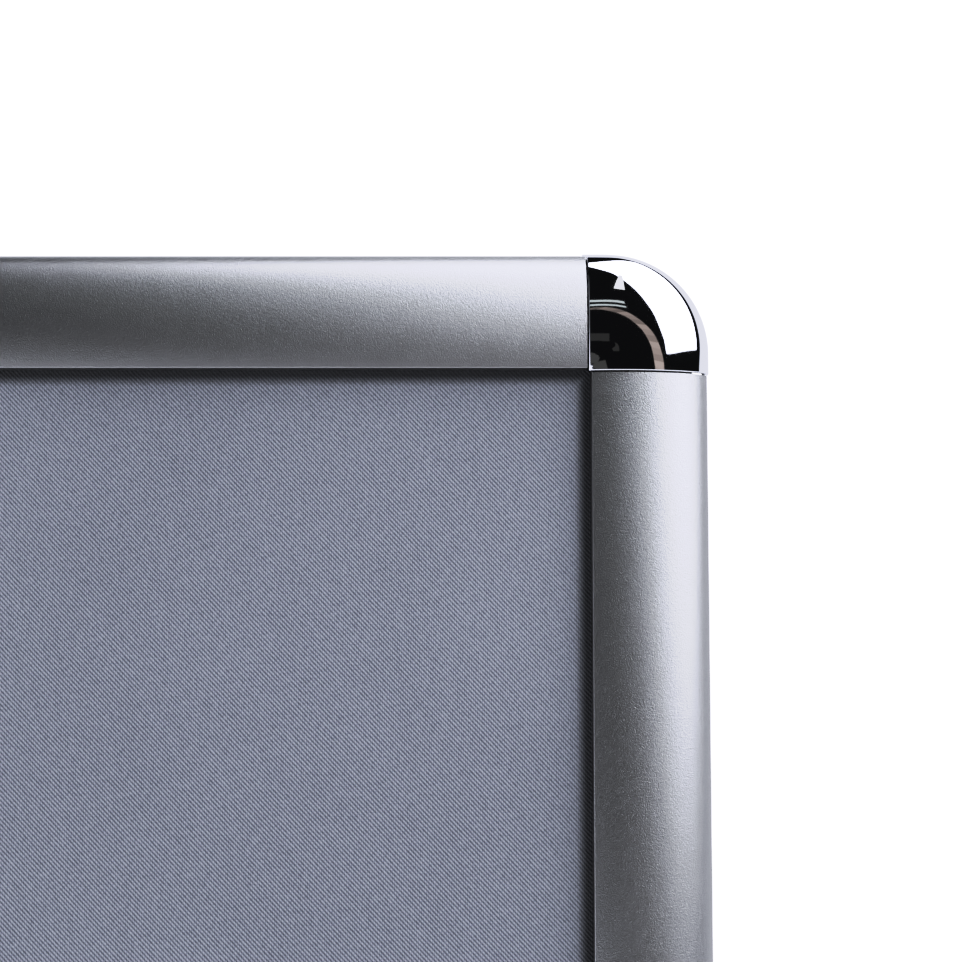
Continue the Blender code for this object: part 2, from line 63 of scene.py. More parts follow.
def local_box(node, space):
    """A CAD node's box in one side's own space, in millimetres."""
    back = space.inverted()
    points = [back @ vertex.co / MM for vertex in NODES[node].data.vertices]
    low = Vector([min(point[axis] for point in points) for axis in range(3)])
    high = Vector([max(point[axis] for point in points) for axis in range(3)])
    return low, high


CAP_BOX = local_box("front_corner_top_right", SPACES["front"])
HALF_WIDTH = CAP_BOX[1].x
TOP_Z = CAP_BOX[1].z
BACK_GAP = -CAP_BOX[1].y
RAIL_OUTER_S = 0.6
BOTTOM_Z = local_box("front_rail_bottom", SPACES["front"])[0].z - RAIL_OUTER_S
MIDDLE_Z = (TOP_Z + BOTTOM_Z) / 2
HALF_HEIGHT = (TOP_Z - BOTTOM_Z) / 2
CAP_SIZE = CAP_BOX[1].x - CAP_BOX[0].x
LEG_END_Z = local_box("front_rail_right", SPACES["front"])[0].z

# ---------------------------------------------------------------- sections, as in the CAD model

WALL = 1.2
RAIL_INNER_S = 30.0
UPSTAND_W = 3.2
CHAMBER_S = 5.8
RAIL_TOP_W = 8.4
BEAD_S = 2.85
BEAD_W = 6.0
BEAD_RADIUS = 1.3
NECK_LOW_W = 5.4
NECK_HIGH_W = 6.9
CLAW_INNER_RADIUS = 1.5
CLAW_OUTER_RADIUS = 2.45
CLAW_START = math.radians(80.0)
CLAW_END = math.radians(230.0)
CREST_S = 24.4
COVER_OUTER_S = BEAD_S - CLAW_OUTER_RADIUS
COVER_INNER_S = COVER_OUTER_S + 32.0
COVER_RISE = 9.5
SHELL = 1.2
LIP_LOW_W = 10.6
RIB_S = 19.0
RIB_THICKNESS = 0.8
RIB_LOW_W = 10.0
CAP_ARC_RADIUS = 27.3
CAP_PROUD = 0.4
CAP_SIDE_WALL = 1.0
CAP_LOW_W = 3.5
CAP_END_GAP = 0.4
SHEET_LOW_W = 9.7
SHEET_THICKNESS = 0.5
SHEET_INSET = 22.0
PANEL_LOW_W = 8.6
PANEL_THICKNESS = 0.8
PANEL_INSET = 20.0
FIT_GAP = 0.3
KEY_S = (8.0, 28.0)
KEY_ARM = 90.0
KEY_CHAMFER = 12.0
KEY_W = (2.0, 5.0)
KEY_MIDDLE = 19.0
FOOT_TOP = ((0.4, -0.4), (30.6, 9.0))
FOOT_SOLE = ((0.2, -2.0), (33.0, 12.4))
FOOT_TONGUE = ((7.35, 1.55), (28.45, 6.85))
FOOT_COLLAR = 8.0
TONGUE_LENGTH = 26.0
HINGE_X = 200.0
LEAF_LENGTH = 70.0
LEAF_Z = (-28.0, -3.6)
LEAF_Y = (-3.5, -2.0)
KNUCKLE_RADIUS = 3.2
KNUCKLE_BORE = 1.8
KNUCKLE_GAP = 0.4
PIN_RADIUS = 1.5
STAY_BELOW_HINGE = 600.0
STAY_PIVOT_Y = BACK_GAP + 3.2
STAY_REACH = STAY_BELOW_HINGE * math.sin(TILT) + STAY_PIVOT_Y * math.cos(TILT)
STAY_WIDTH = 10.0
STAY_THICKNESS = 2.0
STAY_HOLE_RADIUS = 2.4
RAIL_INNER_X = HALF_WIDTH - RAIL_INNER_S
FRONT_LINK_X = RAIL_INNER_X - 2.6
REAR_LINK_X = FRONT_LINK_X - STAY_THICKNESS - 0.4
RIVET_RADIUS = 2.0
RIVET_HEAD_RADIUS = 4.0
RIVET_HEAD_HEIGHT = 1.2
SPACER_RADIUS = 3.4

# Fineness of round shapes.
DOME_STEPS = 64
CORNER_STEPS = 40
ARC_STEPS = 24
FILLET_STEPS = 4
ROUND_SIDES = 40
SMOOTH_ANGLE = math.radians(40.0)


# ---------------------------------------------------------------- making pieces

def finish_piece(name, body_mesh, matrix, body, look, replaced=()):
    """Turns a bmesh in millimetres into a piece of one material that rides on a CAD body."""
    bmesh.ops.remove_doubles(body_mesh, verts=body_mesh.verts, dist=0.0005)
    bmesh.ops.recalc_face_normals(body_mesh, faces=body_mesh.faces)
    bmesh.ops.transform(body_mesh, matrix=matrix @ Matrix.Scale(MM, 4), verts=body_mesh.verts)
    mesh = bpy.data.meshes.new(name)
    body_mesh.to_mesh(mesh)
    body_mesh.free()
    mesh.shade_smooth()
    mesh.set_sharp_from_angle(angle=SMOOTH_ANGLE)
    mesh.materials.append(MATERIALS[look])
    piece = bpy.data.objects.new(name, mesh)
    bpy.context.scene.collection.objects.link(piece)
    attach(piece, body)
    if replaced:
        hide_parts(*replaced)
    return piece


def place(space, x, y, z):
    """A side's space moved to a point in it, given in millimetres."""
    return space @ Matrix.Translation(Vector((x, y, z)) * MM)


def quarter_turns(count):
    return Matrix.Rotation(count * math.pi / 2, 4, "Y")


def side_matrix(space, side, s=0.0, w=0.0):
    """Space of a frame member: x along it, y = -w, z = -s, with its origin at the point (s, w)."""
    middle = {"top": (0, TOP_Z), "right": (HALF_WIDTH, MIDDLE_Z),
              "bottom": (0, BOTTOM_Z), "left": (-HALF_WIDTH, MIDDLE_Z)}[side]
    turned = place(space, middle[0], -BACK_GAP, middle[1]) @ quarter_turns(SIDES[side])
    return place(turned, 0, -w, -s)


def corner_matrix(space, corner):
    x = HALF_WIDTH if corner.endswith("right") else -HALF_WIDTH
    z = TOP_Z if corner.startswith("top") else BOTTOM_Z
    return place(space, x, -BACK_GAP, z) @ quarter_turns(CORNERS[corner])


def world_side(label, side):
    """The name that a side or hand of one frame has on the whole board, seen from the front."""
    return MIRRORED.get(side, side) if label == "rear" else side


def arc(centre, radius, start, end, steps):
    turn = (end - start) / steps
    return [(centre[0] + radius * math.cos(start + turn * step),
             centre[1] + radius * math.sin(start + turn * step)) for step in range(steps + 1)]


def circle(centre, radius, sides=ROUND_SIDES):
    return arc(centre, radius, 0.0, 2 * math.pi, sides)[:-1]


def rectangle(low, high):
    return [(low[0], low[1]), (high[0], low[1]), (high[0], high[1]), (low[0], high[1])]


def filleted(corners, radius, steps=FILLET_STEPS):
    """A closed outline with its corners rounded to a radius, or less where an edge is short."""
    rounded = []
    count = len(corners)
    for index, corner in enumerate(corners):
        here = Vector(corner)
        before = Vector(corners[index - 1]) - here
        after = Vector(corners[(index + 1) % count]) - here
        half = before.angle(after) / 2
        if half > math.radians(80.0):
            rounded.append(tuple(here))
            continue
        reach = min(radius / math.tan(half), before.length / 2, after.length / 2)
        size = reach * math.tan(half)
        first = here + before.normalized() * reach
        last = here + after.normalized() * reach
        middle = here + (before.normalized() + after.normalized()).normalized() * (
            size / math.sin(half))
        for step in range(steps + 1):
            blend = step / steps
            spoke = (first - middle).lerp(last - middle, blend).normalized()
            rounded.append(tuple(middle + spoke * size))
    return rounded


def offset_inward(outline, distance):
    """A closed outline moved inward by a small distance."""
    area = sum(a[0] * b[1] - b[0] * a[1] for a, b in zip(outline, outline[1:] + outline[:1]))
    side = 1.0 if area > 0 else -1.0
    moved = []
    for index, point in enumerate(outline):
        before = Vector(point) - Vector(outline[index - 1])
        after = Vector(outline[(index + 1) % len(outline)]) - Vector(point)
        along = before.normalized() + after.normalized()
        normal = Vector((-along.y, along.x)).normalized() * side
        moved.append((point[0] + normal.x * distance, point[1] + normal.y * distance))
    return moved


def skin(body, rows):
    """Faces between each two neighbouring rows of vertices, which are closed loops."""
    for row, following in zip(rows, rows[1:]):
        for index in range(len(row)):
            beside = (index + 1) % len(row)
            body.faces.new((row[index], row[beside], following[beside], following[index]))


def strip(body, first, second):
    """Faces between two rows of vertices that are open at their ends."""
    for index in range(len(first) - 1):
        body.faces.new((first[index], first[index + 1], second[index + 1], second[index]))


def swept(outlines, levels, point_at):
    """A solid along a straight path, from an outline with any holes after it.

    levels are (position, inset) pairs; point_at turns a position and an outline point into 3-D.
    """
    body = bmesh.new()
    end_edges = ([], [])
    for number, outline in enumerate(outlines):
        rows = []
        for position, inset in levels:
            moved = offset_inward(outline, -inset if number else inset) if inset else outline
            rows.append([body.verts.new(point_at(position, point)) for point in moved])
        skin(body, rows)
        for edges, row in zip(end_edges, (rows[0], rows[-1])):
            for first, second in zip(row, row[1:] + row[:1]):
                edges.append(body.edges.get((first, second)))
    for edges in end_edges:
        bmesh.ops.triangle_fill(body, use_beauty=True, use_dissolve=False, edges=edges)
    return body


def chamfered(start, end, size):
    """Levels of a sweep whose two ends have a small rounded chamfer."""
    sign = 1.0 if end > start else -1.0
    return [(start, size), (start + sign * size * 0.3, size * 0.3), (start + sign * size, 0.0),
            (end - sign * size, 0.0), (end - sign * size * 0.3, size * 0.3), (end, size)]


def member_point(pivot):
    """Maps a position along a member and a section point (s, w) to the member's space."""
    return lambda position, point: (position, pivot[1] - point[1], pivot[0] - point[0])


def plate_point(position, point):
    """Maps a depth and an outline point (x, z) to a plate that faces along y."""
    return (point[0], position, point[1])


def across_point(position, point):
    """Maps a position along x and an outline point (y, z) to a part that lies across the board."""
    return (position, point[0], point[1])


def lofted(rings):
    """A solid through rings of equal counts, capped at both ends."""
    body = bmesh.new()
    rows = [[body.verts.new(point) for point in ring] for ring in rings]
    skin(body, rows)
    body.faces.new(rows[0])
    body.faces.new(rows[-1])
    return body


def turned(profile, sides=ROUND_SIDES):
    """A solid of revolution about x through (x, radius) points, capped at both ends."""
    return lofted([[(x, y, z) for y, z in circle((0, 0), radius, sides)] for x, radius in profile])


def join_into(target, other, matrix=None):
    """Adds a second bmesh to the first, after an optional move in millimetres."""
    if matrix:
        bmesh.ops.transform(other, matrix=matrix, verts=other.verts)
    mesh = bpy.data.meshes.new("joined")
    other.to_mesh(mesh)
    other.free()
    target.from_mesh(mesh)
    bpy.data.meshes.remove(mesh)


# ---------------------------------------------------------------- materials

def node(tree, kind, links=None, **settings):
    """Adds a shader node; links gives each input a socket to join or a value to hold."""
    made = tree.nodes.new(kind)
    for key, value in settings.items():
        setattr(made, key, value)
    for key, value in (links or {}).items():
        if isinstance(value, bpy.types.NodeSocket):
            tree.links.new(value, made.inputs[key])
        else:
            made.inputs[key].default_value = value
    return made


def new_material(name, colour, roughness, metallic, specular=0.5):
    """A Principled material and its tree, shader and object coordinates."""
    material = bpy.data.materials.new(name)
    material.use_nodes = True
    tree = material.node_tree
    shader = tree.nodes["Principled BSDF"]
    shader.inputs["Base Color"].default_value = (*colour, 1.0)
    shader.inputs["Roughness"].default_value = roughness
    shader.inputs["Metallic"].default_value = metallic
    shader.inputs["Specular IOR Level"].default_value = specular
    place_in = node(tree, "ShaderNodeTexCoord").outputs["Object"]
    return material, tree, shader, place_in


def noise(tree, place_in, scale, detail=2.0, roughness=0.5, stretch=None):
    """Noise of a given number of cycles per metre, optionally stretched along an axis."""
    if stretch:
        place_in = node(tree, "ShaderNodeMapping", {"Vector": place_in, "Scale": stretch}).outputs[0]
    links = {"Vector": place_in, "Scale": scale, "Detail": detail, "Roughness": roughness}
    return node(tree, "ShaderNodeTexNoise", links).outputs["Fac"]


def spread(tree, value, low, high, start=0.3, end=0.7):
    """Maps the middle of a noise's range onto low to high."""
    links = {"Value": value, "From Min": start, "From Max": end, "To Min": low, "To Max": high}
    return node(tree, "ShaderNodeMapRange", links).outputs["Result"]


def mixed_colour(tree, factor, first, second):
    made = node(tree, "ShaderNodeMix", {"Factor": factor}, data_type="RGBA")
    made.inputs["A"].default_value = (*first, 1.0)
    made.inputs["B"].default_value = (*second, 1.0)
    return made.outputs["Result"]


def bump(tree, shader, height, distance, strength=1.0, normal=None):
    links = {"Height": height, "Distance": distance, "Strength": strength}
    if normal:
        links["Normal"] = normal
    made = node(tree, "ShaderNodeBump", links).outputs["Normal"]
    tree.links.new(made, shader.inputs["Normal"])
    return made


def math_node(tree, operation, first, second=0.0):
    made = node(tree, "ShaderNodeMath", {0: first, 1: second}, operation=operation)
    return made.outputs[0]


def anodised_aluminium():
    """Bead-blasted silver anodising: an even fine grain with faint sparkles."""
    material, tree, shader, place_in = new_material("anodised_aluminium", (0.4, 0.404, 0.438),
                                                    0.33, 1.0)
    grain = noise(tree, place_in, 3200.0, 2.0, 0.6)
    tree.links.new(spread(tree, grain, 0.28, 0.38), shader.inputs["Roughness"])
    tint = mixed_colour(tree, spread(tree, grain, 0.0, 1.0), (0.378, 0.379, 0.366),
                        (0.426, 0.427, 0.412))
    tree.links.new(tint, shader.inputs["Base Color"])
    bump(tree, shader, grain, 0.00008)
    return material


def chrome():
    """Mirror-bright plating over moulded plastic, very slightly rippled."""
    material, tree, shader, place_in = new_material("chrome", (0.84, 0.845, 0.86), 0.025, 1.0)
    ripple = noise(tree, place_in, 140.0, 1.0)
    bump(tree, shader, ripple, 0.00003)
    haze = noise(tree, place_in, 900.0, 3.0)
    tree.links.new(spread(tree, haze, 0.015, 0.045), shader.inputs["Roughness"])
    return material


# Emboss of the cover sheet: two crossed waves at 45 degrees, and their sum and difference, which are
# the threads of a woven cloth. Cycles per metre.
RIB_CYCLES = 844.0
CROSS_CYCLES = 816.0


def wave(tree, place_in, cycles_x, cycles_z):
    turn = 2 * math.pi
    links = {0: place_in, 1: (cycles_x * turn, 0.0, cycles_z * turn / math.cos(TILT))}
    phase = node(tree, "ShaderNodeVectorMath", links, operation="DOT_PRODUCT").outputs["Value"]
    return math_node(tree, "COSINE", phase)


# Distances from a snap cover's inner edge, in metres, over which painted shade darkens the sheet, and how dark
# that painted shade is in the seam.
PAINTED_SHADE_START = 0.0012
PAINTED_SHADE_END = 0.0046
PAINTED_SHADE_DARKEST = 0.1


def painted_seam_shade(tree, place_in):
    """Painted shade on a sheet along the snap covers' inner edges, where the covers' lips shade it."""
    split = node(tree, "ShaderNodeSeparateXYZ", {0: place_in})
    face = -BACK_GAP - SHEET_LOW_W - SHEET_THICKNESS
    top, bottom = ((SPACES["front"] @ (Vector((0, face, z)) * MM)).z
                   for z in (TOP_Z - COVER_INNER_S, BOTTOM_Z + COVER_INNER_S))
    across = math_node(tree, "ABSOLUTE", split.outputs["X"])
    nearest = math_node(tree, "SUBTRACT", (HALF_WIDTH - COVER_INNER_S) * MM, across)
    for inward in (math_node(tree, "SUBTRACT", top, split.outputs["Z"]),
                   math_node(tree, "SUBTRACT", split.outputs["Z"], bottom)):
        nearest = math_node(tree, "MINIMUM", nearest, inward)
    return node(tree, "ShaderNodeMapRange",
                {"Value": nearest, "From Min": PAINTED_SHADE_START, "From Max": PAINTED_SHADE_END,
                 "To Min": PAINTED_SHADE_DARKEST},
                interpolation_type="SMOOTHSTEP").outputs["Result"]


def cover_sheet():
    """Grey PVC with a fine woven emboss, a little cloudy over its width; its colour is painted lighter on the
    emboss's ridges and darker in its hollows, a painted shading and highlight of the weave, with painted shade
    along the snap covers' inner edges.
    """
    material, tree, shader, place_in = new_material("cover_sheet", (0.2, 0.21, 0.27), 0.48, 0.0)
    ribs = wave(tree, place_in, RIB_CYCLES, CROSS_CYCLES)
    cross = wave(tree, place_in, CROSS_CYCLES, -RIB_CYCLES)
    weft = wave(tree, place_in, RIB_CYCLES + CROSS_CYCLES, CROSS_CYCLES - RIB_CYCLES)
    warp = wave(tree, place_in, RIB_CYCLES - CROSS_CYCLES, RIB_CYCLES + CROSS_CYCLES)
    height = math_node(tree, "ADD", ribs, math_node(tree, "MULTIPLY", weft, 0.4))
    height = math_node(tree, "ADD", height, math_node(tree, "MULTIPLY", warp, 0.14))
    height = math_node(tree, "ADD", height, math_node(tree, "MULTIPLY", cross, 0.13))
    cloud = noise(tree, place_in, 9.0, 3.0)
    fibre = noise(tree, place_in, 1500.0, 2.0)
    # Painted light and shade: the colour follows the emboss's height, ridges lighter and hollows darker; the cloud
    # and fibre noise are the sheet's own uneven tone.
    weave_painted_light_and_tone = math_node(tree, "ADD", spread(tree, height, 0.0, 1.0, -1.4, 1.4),
                    spread(tree, cloud, -0.05, 0.05))
    weave_painted_light_and_tone = math_node(tree, "ADD", weave_painted_light_and_tone, spread(tree, fibre, -0.15, 0.15))
    tint = mixed_colour(tree, weave_painted_light_and_tone, (0.115, 0.12, 0.138), (0.45, 0.464, 0.485))
    # Painted shade: the sheet's colour darkens along the snap covers' inner edges.
    shaded = node(tree, "ShaderNodeVectorMath", {0: tint, "Scale": painted_seam_shade(tree, place_in)},
                  operation="SCALE")
    tree.links.new(shaded.outputs[0], shader.inputs["Base Color"])
    bump(tree, shader, height, 0.00004)
    return material


def galvanised_steel():
    """Hot-dip spangle: large crystals of slightly different brightness and gloss."""
    material, tree, shader, place_in = new_material("galvanised_steel", (0.55, 0.57, 0.6), 0.4, 1.0)
    edge = noise(tree, place_in, 160.0, 3.0)
    warped = node(tree, "ShaderNodeVectorMath", {0: place_in}, operation="ADD")
    shift = node(tree, "ShaderNodeVectorMath", {0: (0.004, 0.004, 0.004)}, operation="SCALE")
    tree.links.new(edge, shift.inputs["Scale"])
    tree.links.new(shift.outputs[0], warped.inputs[1])
    cells = node(tree, "ShaderNodeTexVoronoi", {"Vector": warped.outputs[0], "Scale": 85.0})
    crystal = node(tree, "ShaderNodeSeparateColor", {"Color": cells.outputs["Color"]})
    tint = mixed_colour(tree, crystal.outputs["Red"], (0.47, 0.49, 0.52), (0.66, 0.68, 0.70))
    tree.links.new(tint, shader.inputs["Base Color"])
    tree.links.new(spread(tree, crystal.outputs["Green"], 0.3, 0.5, 0.0, 1.0),
                   shader.inputs["Roughness"])
    bump(tree, shader, crystal.outputs["Blue"], 0.00002)
    return material


def zinc_plated_steel(name, stretch):
    """Bright zinc plating with fine scratches along the strip."""
    material, tree, shader, place_in = new_material(name, (0.62, 0.63, 0.65), 0.3, 1.0)
    lines = noise(tree, place_in, 900.0, 2.0, stretch=stretch)
    tree.links.new(spread(tree, lines, 0.22, 0.4), shader.inputs["Roughness"])
    tint = mixed_colour(tree, spread(tree, noise(tree, place_in, 60.0, 3.0), 0.0, 1.0),
                        (0.56, 0.57, 0.59), (0.70, 0.71, 0.72))
    tree.links.new(tint, shader.inputs["Base Color"])
    bump(tree, shader, lines, 0.00001)
    return material


def spring_steel():
    """Rolled strip with lines along it and a faint blue heat tint."""
    material, tree, shader, place_in = new_material("spring_steel", (0.4, 0.4, 0.43), 0.28, 1.0)
    lines = noise(tree, place_in, 1400.0, 2.0, stretch=(1.0, 1.0, 0.05))
    tree.links.new(spread(tree, lines, 0.2, 0.36), shader.inputs["Roughness"])
    tint = mixed_colour(tree, spread(tree, noise(tree, place_in, 90.0), 0.0, 1.0),
                        (0.35, 0.36, 0.41), (0.47, 0.46, 0.46))
    tree.links.new(tint, shader.inputs["Base Color"])
    bump(tree, shader, lines, 0.00001)
    return material


def foot_rubber():
    """Matt black rubber, finely pitted, with faint dusty patches."""
    material, tree, shader, place_in = new_material("foot_rubber", (0.02, 0.02, 0.022), 0.7, 0.0, 0.35)
    pits = noise(tree, place_in, 1800.0, 3.0)
    dust = noise(tree, place_in, 70.0, 4.0)
    tint = mixed_colour(tree, spread(tree, dust, 0.0, 1.0, 0.4, 0.75), (0.016, 0.016, 0.018),
                        (0.045, 0.044, 0.042))
    tree.links.new(tint, shader.inputs["Base Color"])
    tree.links.new(spread(tree, pits, 0.6, 0.8), shader.inputs["Roughness"])
    bump(tree, shader, pits, 0.00006)
    return material


MATERIALS = {
    "anodised_aluminium": anodised_aluminium(),
    "chrome": chrome(),
    "cover_sheet": cover_sheet(),
    "galvanised_steel": galvanised_steel(),
    "zinc_plated_steel": zinc_plated_steel("zinc_plated_steel", (1.0, 0.06, 1.0)),
    "zinc_plated_hinge": zinc_plated_steel("zinc_plated_hinge", (0.06, 1.0, 1.0)),
    "spring_steel": spring_steel(),
    "foot_rubber": foot_rubber(),
}


# ---------------------------------------------------------------- pieces of one side

def rail_section():
    """The base rail's outline and its chamber, in (s, w), with small fillets."""
    low_turn = math.asin((NECK_LOW_W - BEAD_W) / BEAD_RADIUS)
    high_turn = math.asin((NECK_HIGH_W - BEAD_W) / BEAD_RADIUS)
    bead = arc((BEAD_S, BEAD_W), BEAD_RADIUS, high_turn, 2 * math.pi + low_turn, ARC_STEPS)
    outline = [(RAIL_OUTER_S, 0), (RAIL_INNER_S, 0), (RAIL_INNER_S, RAIL_TOP_W),
               (CHAMBER_S, RAIL_TOP_W), (CHAMBER_S, NECK_HIGH_W), *bead,
               (CHAMBER_S, NECK_LOW_W), (CHAMBER_S, WALL), (RAIL_OUTER_S + WALL, WALL),
               (RAIL_OUTER_S + WALL, UPSTAND_W), (RAIL_OUTER_S, UPSTAND_W)]
    chamber = rectangle((CHAMBER_S + WALL, WALL), (RAIL_INNER_S - WALL, RAIL_TOP_W - WALL))
    return filleted(outline, 0.4), filleted(chamber, 0.6)


def dome_turns(outer_s, inner_s, first_turn, steps):
    last_turn = math.pi - math.acos((inner_s - CREST_S) / (CREST_S - outer_s))
    return [first_turn + (last_turn - first_turn) * step / steps for step in range(steps + 1)]


def dome_points(outer_s, rise, inner_s, first_turn=0.0, steps=DOME_STEPS):
    reach = CREST_S - outer_s
    return [(CREST_S - reach * math.cos(turn), BEAD_W + rise * math.sin(turn))
            for turn in dome_turns(outer_s, inner_s, first_turn, steps)]


def dome_height(outer_s, rise, s):
    return BEAD_W + rise * math.sqrt(1 - ((CREST_S - s) / (CREST_S - outer_s)) ** 2)


def cover_section():
    """Outline of a snap cover, in (s, w), with its visible inner edge rounded."""
    bead = (BEAD_S, BEAD_W)
    edge_radius = 0.35
    lip_s = COVER_INNER_S - SHELL
    inner_edge = (COVER_OUTER_S + SHELL, COVER_RISE - SHELL)
    outer = dome_points(COVER_OUTER_S, COVER_RISE, COVER_INNER_S)
    outer = [point for point in outer if point[0] < COVER_INNER_S - edge_radius]
    top = dome_height(COVER_OUTER_S, COVER_RISE, COVER_INNER_S - edge_radius)
    rounding = arc((COVER_INNER_S - edge_radius, top - edge_radius), edge_radius,
                   math.pi / 2, 0.0, 6)
    inner = dome_points(*inner_edge, lip_s, math.radians(25.0))
    far_side = [point for point in inner if point[0] > RIB_S + RIB_THICKNESS]
    near_side = [point for point in inner if point[0] < RIB_S]
    rib = [(RIB_S + RIB_THICKNESS, dome_height(*inner_edge, RIB_S + RIB_THICKNESS)),
           (RIB_S + RIB_THICKNESS, RIB_LOW_W), (RIB_S, RIB_LOW_W),
           (RIB_S, dome_height(*inner_edge, RIB_S))]
    claw_inner = arc(bead, CLAW_INNER_RADIUS, CLAW_START, CLAW_END, ARC_STEPS)
    claw_outer = arc(bead, CLAW_OUTER_RADIUS, CLAW_END, math.pi, ARC_STEPS // 2)
    return [*outer, *rounding, (COVER_INNER_S, LIP_LOW_W), (lip_s, LIP_LOW_W),
            *reversed(far_side), *rib, *reversed(near_side), *claw_inner, *claw_outer[:-1]]


def build_rails(label, space):
    start = CAP_SIZE + CAP_END_GAP
    reach = HALF_WIDTH - start
    butt = HALF_WIDTH - RAIL_INNER_S - 0.3
    upper = HALF_HEIGHT - start
    lower = MIDDLE_Z - LEG_END_Z
    spans = {"top": (-reach, reach), "right": (-upper, lower), "bottom": (-butt, butt),
             "left": (-lower, upper)}
    for side, (low, high) in spans.items():
        name = f"{label}_rail_{world_side(label, side)}"
        body = swept(rail_section(), chamfered(low, high, 0.15), member_point((0.0, 0.0)))
        finish_piece(name + "_profile", body, side_matrix(space, side), label + "_frame",
                     "anodised_aluminium", (name,))


def build_covers(label, space):
    pivot = (BEAD_S, BEAD_W)
    for side in SIDES:
        half = (HALF_WIDTH if side in ("top", "bottom") else HALF_HEIGHT) - CAP_SIZE - CAP_END_GAP
        name = f"{label}_snap_cover_{world_side(label, side)}"
        body = swept([cover_section()], chamfered(-half, half, 0.12), member_point(pivot))
        finish_piece(name + "_profile", body, side_matrix(space, side, *pivot), name,
                     "anodised_aluminium", (name,))


def build_springs(label, space):
    """Bent leaf springs: a flat foot at each end and a bridge between them."""
    half = 15.0
    thickness = 0.6
    bends = [(8.0, 8.7), (10.0, 8.7), (12.2, 11.2), (13.8, 11.2), (16.0, 8.7), (18.0, 8.7)]
    outline = [*bends, *reversed([(s, w + thickness) for s, w in bends])]
    rounded = filleted(outline, 0.9)
    for side in SIDES:
        name = f"{label}_spring_{world_side(label, side)}"
        body = swept([rounded], chamfered(-half, half, 0.1), member_point((0.0, 0.0)))
        finish_piece(name + "_leaf", body, side_matrix(space, side), label + "_frame",
                     "spring_steel", (name,))


# Corner caps. The outer skin rolls over by END_ROLL at the two ends that meet the snap covers.
END_ROLL = 0.3
ROLL_STEPS = 5


def roll_drop(distance):
    """How far the skin has dropped at a distance from a cap's end."""
    if distance >= END_ROLL:
        return 0.0
    return END_ROLL - math.sqrt(END_ROLL ** 2 - (END_ROLL - distance) ** 2)


def cap_path(s, w, normal, outer):
    """One row of the cap's skin: in from one end, round the corner, and out to the other end."""
    radius = max(CAP_ARC_RADIUS - s, 0.0)
    turn_at = max(s, CAP_ARC_RADIUS)
    straight = CAP_SIZE - turn_at
    rolls = [min(END_ROLL * (1 - math.cos(math.pi / 2 * step / ROLL_STEPS)), straight)
             for step in range(ROLL_STEPS + 1)]
    row = []
    for distance in rolls:
        drop = roll_drop(distance) if outer else 0.0
        row.append((-s - normal[0] * drop, -(w - normal[1] * drop), -(CAP_SIZE - distance)))
    corner = arc((-turn_at, -turn_at), radius, 0.0, math.pi / 2, CORNER_STEPS)
    middle_drop = roll_drop(straight) if outer else 0.0
    row += [(x - normal[0] * middle_drop, -(w - normal[1] * middle_drop), z) for x, z in corner]
    for distance in reversed(rolls):
        drop = roll_drop(distance) if outer else 0.0
        row.append((-(CAP_SIZE - distance), -(w - normal[1] * drop), -s - normal[0] * drop))
    return row


def skin_rows(outer_s, rise, low_w, outer):
    """Rows of the outer or the inner skin, from its open edge up and over the dome."""
    rows = [cap_path(outer_s, low_w, (1.0, 0.0), outer)]
    reach = CREST_S - outer_s
    for turn in dome_turns(outer_s, CAP_SIZE, 0.0, DOME_STEPS):
        s = CREST_S - reach * math.cos(turn)
        w = BEAD_W + rise * math.sin(turn)
        slope = Vector((math.cos(turn) / reach, math.sin(turn) / rise)).normalized()
        rows.append(cap_path(s, w, slope, outer))
    return rows


def build_cap(name, matrix, body_name, low_w):
    rise = COVER_RISE + CAP_PROUD
    points = skin_rows(0.0, rise, low_w, True)
    points += reversed(skin_rows(CAP_SIDE_WALL, rise - SHELL, low_w, False))
    body = bmesh.new()
    rows = [[body.verts.new(point) for point in row] for row in points]
    for row, following in zip(rows, rows[1:] + rows[:1]):
        strip(body, row, following)
    body.faces.new([row[0] for row in rows])
    body.faces.new([row[-1] for row in reversed(rows)])
    bmesh.ops.dissolve_degenerate(body, dist=0.0005, edges=body.edges)
    return finish_piece(name + "_dome", body, matrix, body_name, "chrome", (name,))


def leg_clearance(side, space):
    """A hidden cutter: the room that a leg needs where it leaves a bottom corner cap."""
    low = (BEAD_S - BEAD_RADIUS - 0.2, CAP_LOW_W - 1.0)
    high = (CAP_SIZE + 1.0, RAIL_TOP_W + 0.3)
    near = HALF_HEIGHT - CAP_SIZE - 1.0
    far = HALF_HEIGHT + 1.0
    levels = [(near, 0.0), (far, 0.0)] if side == "right" else [(-far, 0.0), (-near, 0.0)]
    body = swept([rectangle(low, high)], levels, member_point((0.0, 0.0)))
    bmesh.ops.recalc_face_normals(body, faces=body.faces)
    bmesh.ops.scale(body, vec=(MM, MM, MM), verts=body.verts)
    mesh = bpy.data.meshes.new("leg_clearance")
    body.to_mesh(mesh)
    body.free()
    cutter = bpy.data.objects.new("leg_clearance", mesh)
    bpy.context.scene.collection.objects.link(cutter)
    cutter.matrix_world = side_matrix(space, side)
    return cutter


def cut_and_apply(piece, cutter):
    """Cuts one object from another for good, and removes the cutter."""
    modifier = piece.modifiers.new("clearance", "BOOLEAN")
    modifier.operation = "DIFFERENCE"
    modifier.solver = "EXACT"
    modifier.object = cutter
    bpy.context.view_layer.update()
    shaped = bpy.data.meshes.new_from_object(piece.evaluated_get(
        bpy.context.evaluated_depsgraph_get()))
    piece.modifiers.remove(modifier)
    piece.data = shaped
    bpy.data.objects.remove(cutter)


